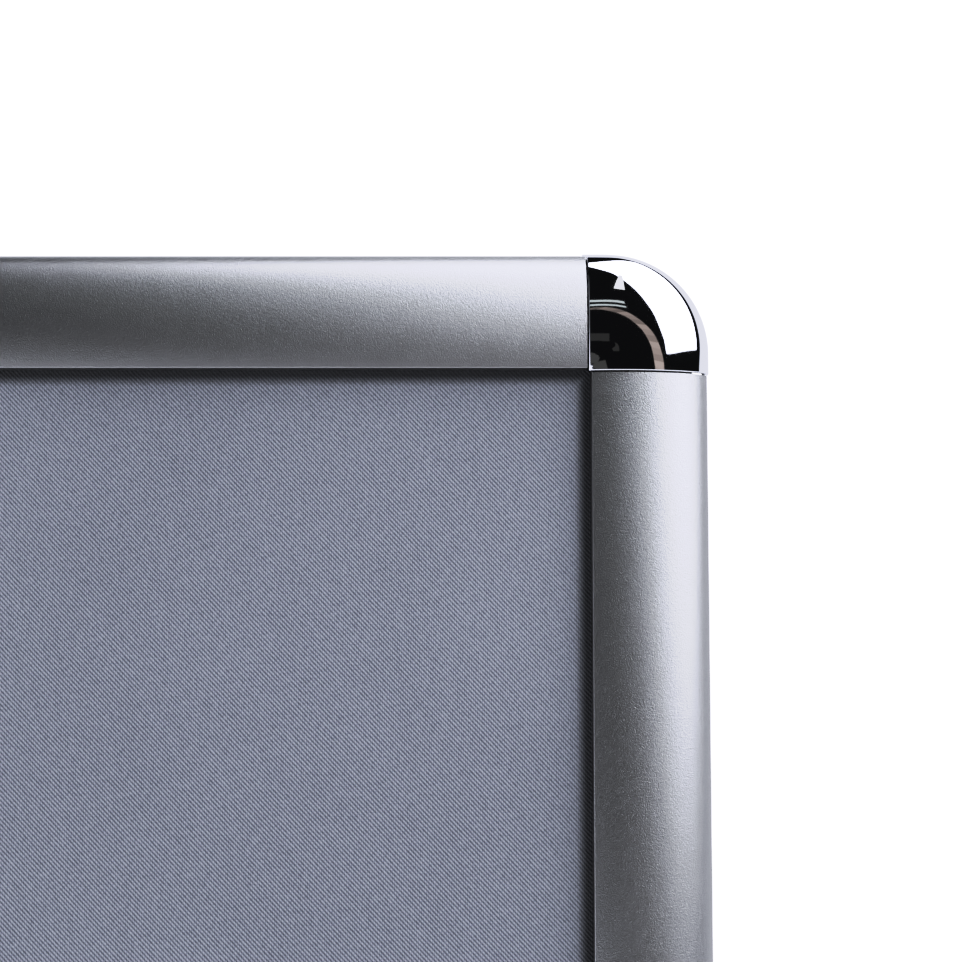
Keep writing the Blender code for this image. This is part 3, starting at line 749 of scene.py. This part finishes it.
def build_caps(label, space):
    for corner in CORNERS:
        level, hand = corner.split("_")
        name = f"{label}_corner_{level}_{world_side(label, hand)}"
        low_w = 0.0 if level == "top" else CAP_LOW_W
        cap = build_cap(name, corner_matrix(space, corner), label + "_frame", low_w)
        if level == "bottom":
            cut_and_apply(cap, leg_clearance(hand, space))


SHEET_SWELL = 0.06
SHEET_COLUMNS = 48
SHEET_ROWS = 64


def sheet_solid(inset, low_w, thickness):
    """A thin sheet across the frame, with the slight waviness of a real one."""
    half_x = HALF_WIDTH - inset
    half_z = HALF_HEIGHT - inset
    body = bmesh.new()
    faces = []
    for level in (low_w, low_w + thickness):
        rows = []
        for row in range(SHEET_ROWS + 1):
            z = (2 * row / SHEET_ROWS - 1) * half_z
            line = []
            for column in range(SHEET_COLUMNS + 1):
                x = (2 * column / SHEET_COLUMNS - 1) * half_x
                wave_here = math.sin(x / 71.0 + z / 190.0) * math.sin(z / 120.0 + 0.7)
                line.append(body.verts.new((x, -(level + SHEET_SWELL * wave_here), z)))
            rows.append(line)
        faces.append(rows)
        for first, second in zip(rows, rows[1:]):
            strip(body, first, second)
    lower, upper = faces
    rims = ((lower[0], upper[0]), (lower[-1], upper[-1]),
            ([row[0] for row in lower], [row[0] for row in upper]),
            ([row[-1] for row in lower], [row[-1] for row in upper]))
    for first, second in rims:
        strip(body, first, second)
    return body


def build_sheets(label, space):
    middle = place(space, 0, -BACK_GAP, MIDDLE_Z)
    cover = sheet_solid(SHEET_INSET, SHEET_LOW_W, SHEET_THICKNESS)
    finish_piece(label + "_cover_sheet_embossed", cover, middle, label + "_frame", "cover_sheet",
                 (label + "_cover_sheet",))
    panel = sheet_solid(PANEL_INSET, PANEL_LOW_W, PANEL_THICKNESS)
    finish_piece(label + "_back_panel_sheet", panel, middle, label + "_frame", "galvanised_steel",
                 (label + "_back_panel",))


# Pan-head screws, which face along +y from the point that they are screwed in at.
SCREW_RADIUS = 3.4
SCREW_HEIGHT = 1.2
RECESS_ARM = 1.9
RECESS_HALF = 0.45


def screw_head():
    """A pan head with a rounded rim and a cross recess."""
    cross = []
    for turn in range(4):
        spin = Matrix.Rotation(turn * math.pi / 2, 2)
        for point in ((RECESS_ARM, -RECESS_HALF), (RECESS_ARM, RECESS_HALF),
                      (RECESS_HALF, RECESS_HALF)):
            cross.append(tuple(spin @ Vector(point)))
    levels = [(0.0, 0.1), (0.15, 0.0), (0.5, 0.0), (0.8, 0.12), (1.0, 0.3), (SCREW_HEIGHT, 0.7)]
    head = swept([circle((0, 0), SCREW_RADIUS)], levels[:-1], plate_point)
    rim = [(1.0, 0.0), (SCREW_HEIGHT, 0.4)]
    ring = swept([circle((0, 0), SCREW_RADIUS - 0.3), cross], rim, plate_point)
    join_into(head, ring)
    return head


def build_screws(label, space):
    """Screws of the hinge leaves, the corner keys and the two bottom caps."""
    screws = bmesh.new()
    for x in (-HINGE_X, HINGE_X):
        for step in (-24.0, 0.0, 24.0):
            join_into(screws, screw_head(), Matrix.Translation((x + step, LEAF_Y[1] - 0.1, -19.0)))
    for sign in (-1, 1):
        join_into(screws, screw_head(), Matrix.Translation(
            (sign * (HALF_WIDTH - KEY_MIDDLE), -BACK_GAP - KEY_W[0], TOP_Z - KEY_MIDDLE)))
        join_into(screws, screw_head(), Matrix.Translation(
            (sign * (HALF_WIDTH - RAIL_INNER_S / 2), -BACK_GAP, BOTTOM_Z + KEY_MIDDLE)))
    finish_piece(label + "_screws", screws, space, label + "_frame", "zinc_plated_hinge")


BOSS_RADIUS = 3.2
BOSS_HIGH_W = 13.8


def build_keys(label, space):
    """The steel elbows in the top corners' chambers, each with the cap's moulded boss on it."""
    low, high = KEY_S
    outline = [(low, low + KEY_CHAMFER), (low + KEY_CHAMFER, low), (KEY_ARM, low), (KEY_ARM, high),
               (high, high), (high, KEY_ARM), (low, KEY_ARM)]
    rounded = filleted([(-across, -below) for across, below in outline], 1.2)
    for corner in ("top_right", "top_left"):
        hand = world_side(label, corner.split("_")[1])
        name = f"{label}_corner_key_{hand}"
        key = swept([rounded], chamfered(-KEY_W[0], -KEY_W[1], 0.3), plate_point)
        finish_piece(name + "_elbow", key, corner_matrix(space, corner), label + "_frame",
                     "zinc_plated_steel", (name,))
        levels = [(-KEY_W[1] - FIT_GAP, 0.4), (-KEY_W[1] - FIT_GAP - 0.4, 0.0),
                  (-BOSS_HIGH_W, 0.0)]
        boss = swept([circle((-KEY_MIDDLE, -KEY_MIDDLE), BOSS_RADIUS)], levels, plate_point)
        finish_piece(f"{label}_cap_boss_{hand}", boss, corner_matrix(space, corner),
                     label + "_frame", "chrome")


def sole_z(w):
    """Height, in a side's space, of the floor under the depth w."""
    return -(BACK_GAP + w) * math.tan(TILT) - HINGE.z / MM / math.cos(TILT)


# Levels of a foot: how far up its flare, or how far below its collar's top, and how far inset.
FLARE_LEVELS = [(0.0, 1.3), (0.06, 0.4), (0.14, 0.0), (0.36, 0.0), (0.42, 0.7), (0.58, 0.7),
                (0.64, 0.0)]
COLLAR_LEVELS = [(-8.0, 0.0), (-6.2, 0.0), (-5.9, 0.6), (-5.0, 0.6), (-4.7, 0.0), (-3.6, 0.0),
                 (-3.3, 0.6), (-2.4, 0.6), (-2.1, 0.0), (-0.9, 0.0), (-0.25, 0.25), (0.0, 0.9)]


def foot_ring(low, high, inset, radius, height, sign):
    """One level of a foot, inset from the corners low and high; height is a function of w."""
    corners = rectangle(low + Vector((inset, inset)), high - Vector((inset, inset)))
    points = filleted(corners, radius, 6)
    return [(sign * (HALF_WIDTH - s), -BACK_GAP - w, height(w)) for s, w in points]


def build_feet(label, space):
    """Rubber feet: a flared sole, a grooved collar and a tongue up inside the leg."""
    collar_z = LEG_END_Z - FIT_GAP
    for hand, sign in (("right", 1), ("left", -1)):
        rings = []
        for up, inset in FLARE_LEVELS:
            low, high = (Vector(sole).lerp(Vector(top), up) for sole, top in zip(FOOT_SOLE, FOOT_TOP))
            rings.append(foot_ring(low, high, inset, 2.4,
                                   lambda w: (1 - up) * sole_z(w) + up * (collar_z - FOOT_COLLAR),
                                   sign))
        low, high = (Vector(corner) for corner in FOOT_TOP)
        for below, inset in COLLAR_LEVELS:
            rings.append(foot_ring(low, high, inset, 1.6, lambda w: collar_z + below, sign))
        low, high = (Vector(corner) for corner in FOOT_TONGUE)
        for above, inset in ((0.0, 0.0), (TONGUE_LENGTH - 2.0, 0.0), (TONGUE_LENGTH, 0.9)):
            rings.append(foot_ring(low, high, inset, 1.0, lambda w: collar_z + above, sign))
        name = f"{label}_foot_{world_side(label, hand)}"
        finish_piece(name + "_moulded", lofted(rings), space, label + "_frame", "foot_rubber",
                     (name,))


# ---------------------------------------------------------------- hinges and stays

def leaf_solid(x, middle_knuckle):
    """A hinge leaf: a plate with rounded corners and the knuckles that it carries."""
    half = LEAF_LENGTH / 2
    knuckle = LEAF_LENGTH / 6
    low, high = (x - half, LEAF_Z[0]), (x + half, LEAF_Z[1] - 0.4)
    outline = [*filleted([(high[0], high[1]), (low[0], high[1]), low, (high[0], low[1])], 4.0, 6)]
    body = swept([outline], chamfered(LEAF_Y[0], LEAF_Y[1], 0.25), plate_point)
    wrap = arc((0, 0), KNUCKLE_RADIUS, math.radians(-40.0), math.radians(200.0), ARC_STEPS)
    section = [(LEAF_Y[0], -8.0), (LEAF_Y[1], -8.0), (LEAF_Y[1], LEAF_Z[1] - 1.0),
               (0.6, -KNUCKLE_RADIUS), *wrap, (LEAF_Y[0], LEAF_Z[1])]
    if middle_knuckle:
        spans = ((x - knuckle + KNUCKLE_GAP, x + knuckle - KNUCKLE_GAP),)
    else:
        spans = ((x - half, x - knuckle), (x + knuckle, x + half))
    for start, end in spans:
        join_into(body, swept([section, circle((0, 0), KNUCKLE_BORE, ARC_STEPS)],
                              chamfered(start, end, 0.2), across_point))
    return body


def domed(start, radius, height):
    """Points (x, radius) of a rivet's domed head, which rises from start by a signed height."""
    rim = 0.2 * height
    dome = [(start + rim + (height - rim) * math.sin(turn), radius * math.cos(turn))
            for turn in [math.radians(10.0 * step) for step in range(1, 9)]]
    return [(start, radius - abs(rim)), (start + rim, radius), *dome]


def build_hinges():
    for hand, x in (("left", -HINGE_X), ("right", HINGE_X)):
        for label, middle_knuckle, local_x in (("front", False, x), ("rear", True, -x)):
            name = f"hinge_{hand}_{label}_leaf"
            finish_piece(name + "_plate", leaf_solid(local_x, middle_knuckle), SPACES[label],
                         label + "_frame", "zinc_plated_hinge", (name,))
        half = LEAF_LENGTH / 2
        profile = [(-half - 1.0, 0.7), (-half - 0.8, 1.1), (-half - 0.3, PIN_RADIUS),
                   (half + 0.3, PIN_RADIUS), (half + 0.8, 1.1), (half + 1.0, 0.7)]
        name = f"hinge_{hand}_pin"
        finish_piece(name + "_peened", turned(profile), place(SPACES["front"], x, 0, 0),
                     "front_frame", "zinc_plated_hinge", (name,))


def stay_matrix(label, x):
    """A stay pivot's space, with y along the link when the board stands open."""
    return place(SPACES[label], x, -STAY_PIVOT_Y, -STAY_BELOW_HINGE) @ Matrix.Rotation(TILT, 4, "X")


def build_link(name, label, sign, plane_x, formed_head):
    """A flat link with rounded ends; formed_head is the knee rivet's far end, on the rear link."""
    half = STAY_WIDTH / 2
    outline = (arc((STAY_REACH, 0), half, -math.pi / 2, math.pi / 2, ARC_STEPS)
               + arc((0, 0), half, math.pi / 2, 3 * math.pi / 2, ARC_STEPS))
    holes = [circle((0, 0), STAY_HOLE_RADIUS, ARC_STEPS)]
    if not formed_head:
        holes.append(circle((STAY_REACH, 0), STAY_HOLE_RADIUS, ARC_STEPS))
    body = swept([outline, *holes], chamfered(0.0, -sign * STAY_THICKNESS, 0.35), across_point)
    if formed_head:
        head = turned(domed(-sign * STAY_THICKNESS, RIVET_HEAD_RADIUS, -sign * RIVET_HEAD_HEIGHT))
        join_into(body, head, Matrix.Translation((0, STAY_REACH, 0)))
    finish_piece(name + "_strip", body, stay_matrix(label, sign * plane_x), name,
                 "zinc_plated_steel", (name,))


def build_pivot(name, label, sign, plane_x):
    """A shouldered rivet from the rail's inner wall, through a link's end, to its domed head."""
    wall = RAIL_INNER_X - FIT_GAP
    spacer_end = plane_x + FIT_GAP
    head_start = plane_x - STAY_THICKNESS - FIT_GAP
    profile = [(wall, SPACER_RADIUS - 0.3), (wall - 0.3, SPACER_RADIUS),
               (spacer_end + 0.3, SPACER_RADIUS), (spacer_end, SPACER_RADIUS - 0.3),
               (spacer_end, RIVET_RADIUS), (head_start, RIVET_RADIUS),
               *domed(head_start, RIVET_HEAD_RADIUS, -RIVET_HEAD_HEIGHT)]
    body = turned([(sign * x, radius) for x, radius in profile])
    finish_piece(name + "_rivet", body, stay_matrix(label, 0), label + "_frame",
                 "zinc_plated_steel", (name,))


def build_knee_rivet(hand, sign):
    """The knee's rivet: a domed head on the rail side and a shank inside the front link."""
    head_low = FRONT_LINK_X + FIT_GAP
    profile = [(FRONT_LINK_X - STAY_THICKNESS, RIVET_RADIUS - 0.3),
               (FRONT_LINK_X - STAY_THICKNESS + 0.3, RIVET_RADIUS), (head_low, RIVET_RADIUS),
               *domed(head_low, RIVET_HEAD_RADIUS, RIVET_HEAD_HEIGHT)]
    body = turned([(sign * x, radius) for x, radius in profile])
    name = f"stay_{hand}_knee_rivet"
    matrix = stay_matrix("front", 0) @ Matrix.Translation((0, STAY_REACH * MM, 0))
    finish_piece(name + "_domed", body, matrix, f"stay_{hand}_front_link", "zinc_plated_steel",
                 (name,))


def build_stays():
    for hand, sign in (("left", -1), ("right", 1)):
        build_link(f"stay_{hand}_front_link", "front", sign, FRONT_LINK_X, False)
        build_link(f"stay_{hand}_rear_link", "rear", -sign, REAR_LINK_X, True)
        build_pivot(f"stay_{hand}_front_pivot", "front", sign, FRONT_LINK_X)
        build_pivot(f"stay_{hand}_rear_pivot", "rear", -sign, REAR_LINK_X)
        build_knee_rivet(hand, sign)


def dress_cad_nodes():
    """Gives every CAD node its own slot's material."""
    slots = {part["node"]: part["material_slot"] for part in frame["record"]["subparts"]}
    for name, item in NODES.items():
        item.data.materials.clear()
        item.data.materials.append(MATERIALS[slots[name]])


# ---------------------------------------------------------------- stage, camera and light

FLOOR_RADIUS = 1.25
FLOOR_FADE_FROM = 0.75


def build_floor():
    """A round pale floor whose rim fades into the white surroundings."""
    body = bmesh.new()
    bmesh.ops.create_circle(body, cap_ends=True, radius=FLOOR_RADIUS, segments=96)
    mesh = bpy.data.meshes.new("floor")
    body.to_mesh(mesh)
    body.free()
    floor = bpy.data.objects.new("floor", mesh)
    bpy.context.scene.collection.objects.link(floor)
    material = bpy.data.materials.new("pale_floor")
    material.use_nodes = True
    tree = material.node_tree
    tree.nodes.clear()
    place_in = node(tree, "ShaderNodeTexCoord").outputs["Object"]
    distance = node(tree, "ShaderNodeVectorMath", {0: place_in}, operation="LENGTH")
    fade = node(tree, "ShaderNodeMapRange",
                {"Value": distance.outputs["Value"], "From Min": FLOOR_FADE_FROM,
                 "From Max": FLOOR_RADIUS},
                interpolation_type="SMOOTHSTEP")
    pale = node(tree, "ShaderNodeBsdfDiffuse", {"Color": (0.82, 0.82, 0.82, 1.0)})
    clear = node(tree, "ShaderNodeBsdfTransparent")
    both = node(tree, "ShaderNodeMixShader", {0: fade.outputs["Result"], 1: pale.outputs[0],
                                              2: clear.outputs[0]})
    node(tree, "ShaderNodeOutputMaterial", {"Surface": both.outputs[0]})
    mesh.materials.append(material)


# The camera looks nearly square on at the front panel, near its top right corner.
VIEW_DROP = math.radians(4.1)
VIEW_DISTANCE = 400.0
VIEW_WIDTH = 256.75
SENSOR_WIDTH = 36.0
AIM_FROM_EDGE = 61.88
AIM_FROM_TOP = 62.38
AIM_W = 12.0
AIM = place(SPACES["front"], HALF_WIDTH - AIM_FROM_EDGE, -BACK_GAP - AIM_W, TOP_Z - AIM_FROM_TOP)
VIEW = AIM @ Matrix.Rotation(VIEW_DROP, 4, "X")

# The studio round the board, as seen from the corner cap along the camera's own axes: x to the right,
# y away from the camera, z up. Each light fills the directions on the inner side of a few planes
# through the cap, which are given by their normals. DARK_ROOM is the brightness of all directions.
SOFTBOX = {"planes": [(1.0, 0.7, 0.22), (-0.17, 0.1, 1.0), (-0.4, -1.0, 0.48), (1.02, -1.0, 0.0)],
           "strength": 4.1, "softness": 0.015}
FILL = {"planes": [(-1.0, 0.35, 0.0), (-0.4, -1.0, -0.6)], "strength": 0.3, "softness": 0.2}
TABLE = {"planes": [(-0.35, 0.0, -1.0), (0.0, -1.0, 0.0)], "strength": 1.25, "softness": 0.2}
DARK_ROOM = 0.01
BACKDROP = {"planes": [(0.24, 1.0, -0.51)], "strength": 1.0, "softness": 0.05}
DAYLIGHT = (0.95, 0.97, 1.1, 1.0)
CAMERA_WHITE = 2.6


def lit_by(tree, direction, light):
    """How much of one light a direction sees."""
    seen = light["strength"]
    for normal in light["planes"]:
        turned_normal = VIEW.to_3x3() @ Vector(normal).normalized()
        depth = node(tree, "ShaderNodeVectorMath", {0: direction, 1: turned_normal},
                     operation="DOT_PRODUCT").outputs["Value"]
        edge = node(tree, "ShaderNodeMapRange", {"Value": depth, "From Max": light["softness"]},
                    interpolation_type="SMOOTHSTEP").outputs["Result"]
        seen = math_node(tree, "MULTIPLY", edge, seen)
    return seen


def build_world():
    """The studio lights in what the board mirrors, and plain white for the camera."""
    world = bpy.data.worlds.new("studio")
    bpy.context.scene.world = world
    world.use_nodes = True
    tree = world.node_tree
    tree.nodes.clear()
    direction = node(tree, "ShaderNodeTexCoord").outputs["Generated"]
    total = DARK_ROOM
    for light in (SOFTBOX, FILL, TABLE, BACKDROP):
        total = math_node(tree, "ADD", lit_by(tree, direction, light), total)
    seen = node(tree, "ShaderNodeLightPath").outputs["Is Camera Ray"]
    surroundings = node(tree, "ShaderNodeBackground", {"Color": DAYLIGHT, "Strength": total})
    white = node(tree, "ShaderNodeBackground", {"Color": (1.0, 1.0, 1.0, 1.0),
                                                "Strength": CAMERA_WHITE})
    both = node(tree, "ShaderNodeMixShader", {0: seen, 1: surroundings.outputs[0],
                                              2: white.outputs[0]})
    node(tree, "ShaderNodeOutputWorld", {"Surface": both.outputs[0]})


def build_camera():
    data = bpy.data.cameras.new("camera")
    data.sensor_width = SENSOR_WIDTH
    data.lens = SENSOR_WIDTH * VIEW_DISTANCE / VIEW_WIDTH
    data.clip_start = 0.01
    camera = bpy.data.objects.new("camera", data)
    bpy.context.scene.collection.objects.link(camera)
    camera.matrix_world = place(VIEW, 0, -VIEW_DISTANCE, 0) @ Matrix.Rotation(math.pi / 2, 4, "X")
    bpy.context.scene.camera = camera


# Studio lights are placed by where the corner cap mirrors them: x to the right of it, y towards the
# board's back and z up, in metres from the cap, along the camera's own axes.
CAP_MIDDLE = VIEW @ Vector((45.0 * MM, 0.0, 45.0 * MM))


def from_cap(x, y, z):
    return CAP_MIDDLE + VIEW.to_3x3() @ Vector((x, y, z))


def light_panel(name, corners, strength, colour=(1.0, 1.0, 1.0)):
    """A luminous sheet through points round it, seen in reflections but not by the camera."""
    mesh = bpy.data.meshes.new(name)
    mesh.from_pydata([tuple(from_cap(*corner)) for corner in corners], [],
                     [tuple(range(len(corners)))])
    panel = bpy.data.objects.new(name, mesh)
    bpy.context.scene.collection.objects.link(panel)
    material = bpy.data.materials.new(name)
    material.use_nodes = True
    tree = material.node_tree
    tree.nodes.clear()
    glow = node(tree, "ShaderNodeEmission", {"Color": (*colour, 1.0), "Strength": strength})
    node(tree, "ShaderNodeOutputMaterial", {"Surface": glow.outputs[0]})
    mesh.materials.append(material)
    panel.visible_camera = False


def card(name, outline, strength, colour=(1.0, 1.0, 1.0)):
    """A small luminous card one metre in front of the cap, for detail in the chrome."""
    light_panel(name, [(x, -1.0, z) for x, z in outline], strength, colour)


def build_lights():
    """Dim things in the studio that the chrome mirrors: a window, a lamp and a round reflector."""
    for low, high in ((0.63, 0.66), (0.70, 0.745)):
        card("window_pane", rectangle((-0.4, low), (0.24, high)), 0.7, (0.9, 0.97, 1.0))
    card("lamp", [(0.16, 1.05), (0.30, 1.03), (0.42, 1.9), (0.36, 1.9)], 1.2, (0.97, 0.98, 1.0))
    outer = arc((0.0, 0.0), 0.61, math.radians(-20.0), math.radians(130.0), ARC_STEPS)
    inner = arc((-0.08, 0.03), 0.545, math.radians(-20.0), math.radians(130.0), ARC_STEPS)
    for index in range(ARC_STEPS):
        quarter = [outer[index], outer[index + 1], inner[index + 1], inner[index]]
        glow = 0.55 - 0.4 * index / ARC_STEPS + 0.08 * math.sin(2.1 * index)
        card("reflector_rim", quarter, glow, (1.0, 0.87, 0.82))
    card("camera_body", rectangle((-0.14, 0.2), (0.06, 0.28)), 0.06)
    card("table_corner", [(-0.16, -0.15), (-0.03, 0.1), (-0.16, 0.08)], 0.11)


# Tone curve of the picture: what the camera makes of a brightness. Lights near the last point and
# above it come out white.
TONES = [(0.0, 0.0), (0.125, 0.062), (0.21, 0.125), (0.45, 0.405), (0.65, 0.63), (0.8, 0.73), (1.1, 0.8),
         (2.3, 1.0)]
# A curve for blue alone, applied before that one, so that bright greys come out a little bluer.
BLUE_TONES = [(0.0, 0.0), (0.4, 0.4), (0.6, 0.605), (0.735, 0.8), (1.12, 1.42), (2.3, 2.3)]


def set_tone():
    settings = bpy.context.scene.view_settings
    settings.view_transform = "Standard"
    settings.use_curve_mapping = True
    mapping = settings.curve_mapping
    mapping.clip_max_x = mapping.clip_max_y = TONES[-1][0]
    for curve, tones in ((mapping.curves[3], TONES), (mapping.curves[2], BLUE_TONES)):
        curve.points[0].location = tones[0]
        curve.points[-1].location = tones[-1]
        for tone in tones[1:-1]:
            curve.points.new(*tone)
    mapping.update()


def main():
    dress_cad_nodes()
    for label, space in SPACES.items():
        build_rails(label, space)
        build_covers(label, space)
        build_springs(label, space)
        build_caps(label, space)
        build_sheets(label, space)
        build_keys(label, space)
        build_screws(label, space)
        build_feet(label, space)
    build_hinges()
    build_stays()
    build_floor()
    build_world()
    build_camera()
    build_lights()
    set_tone()


main()
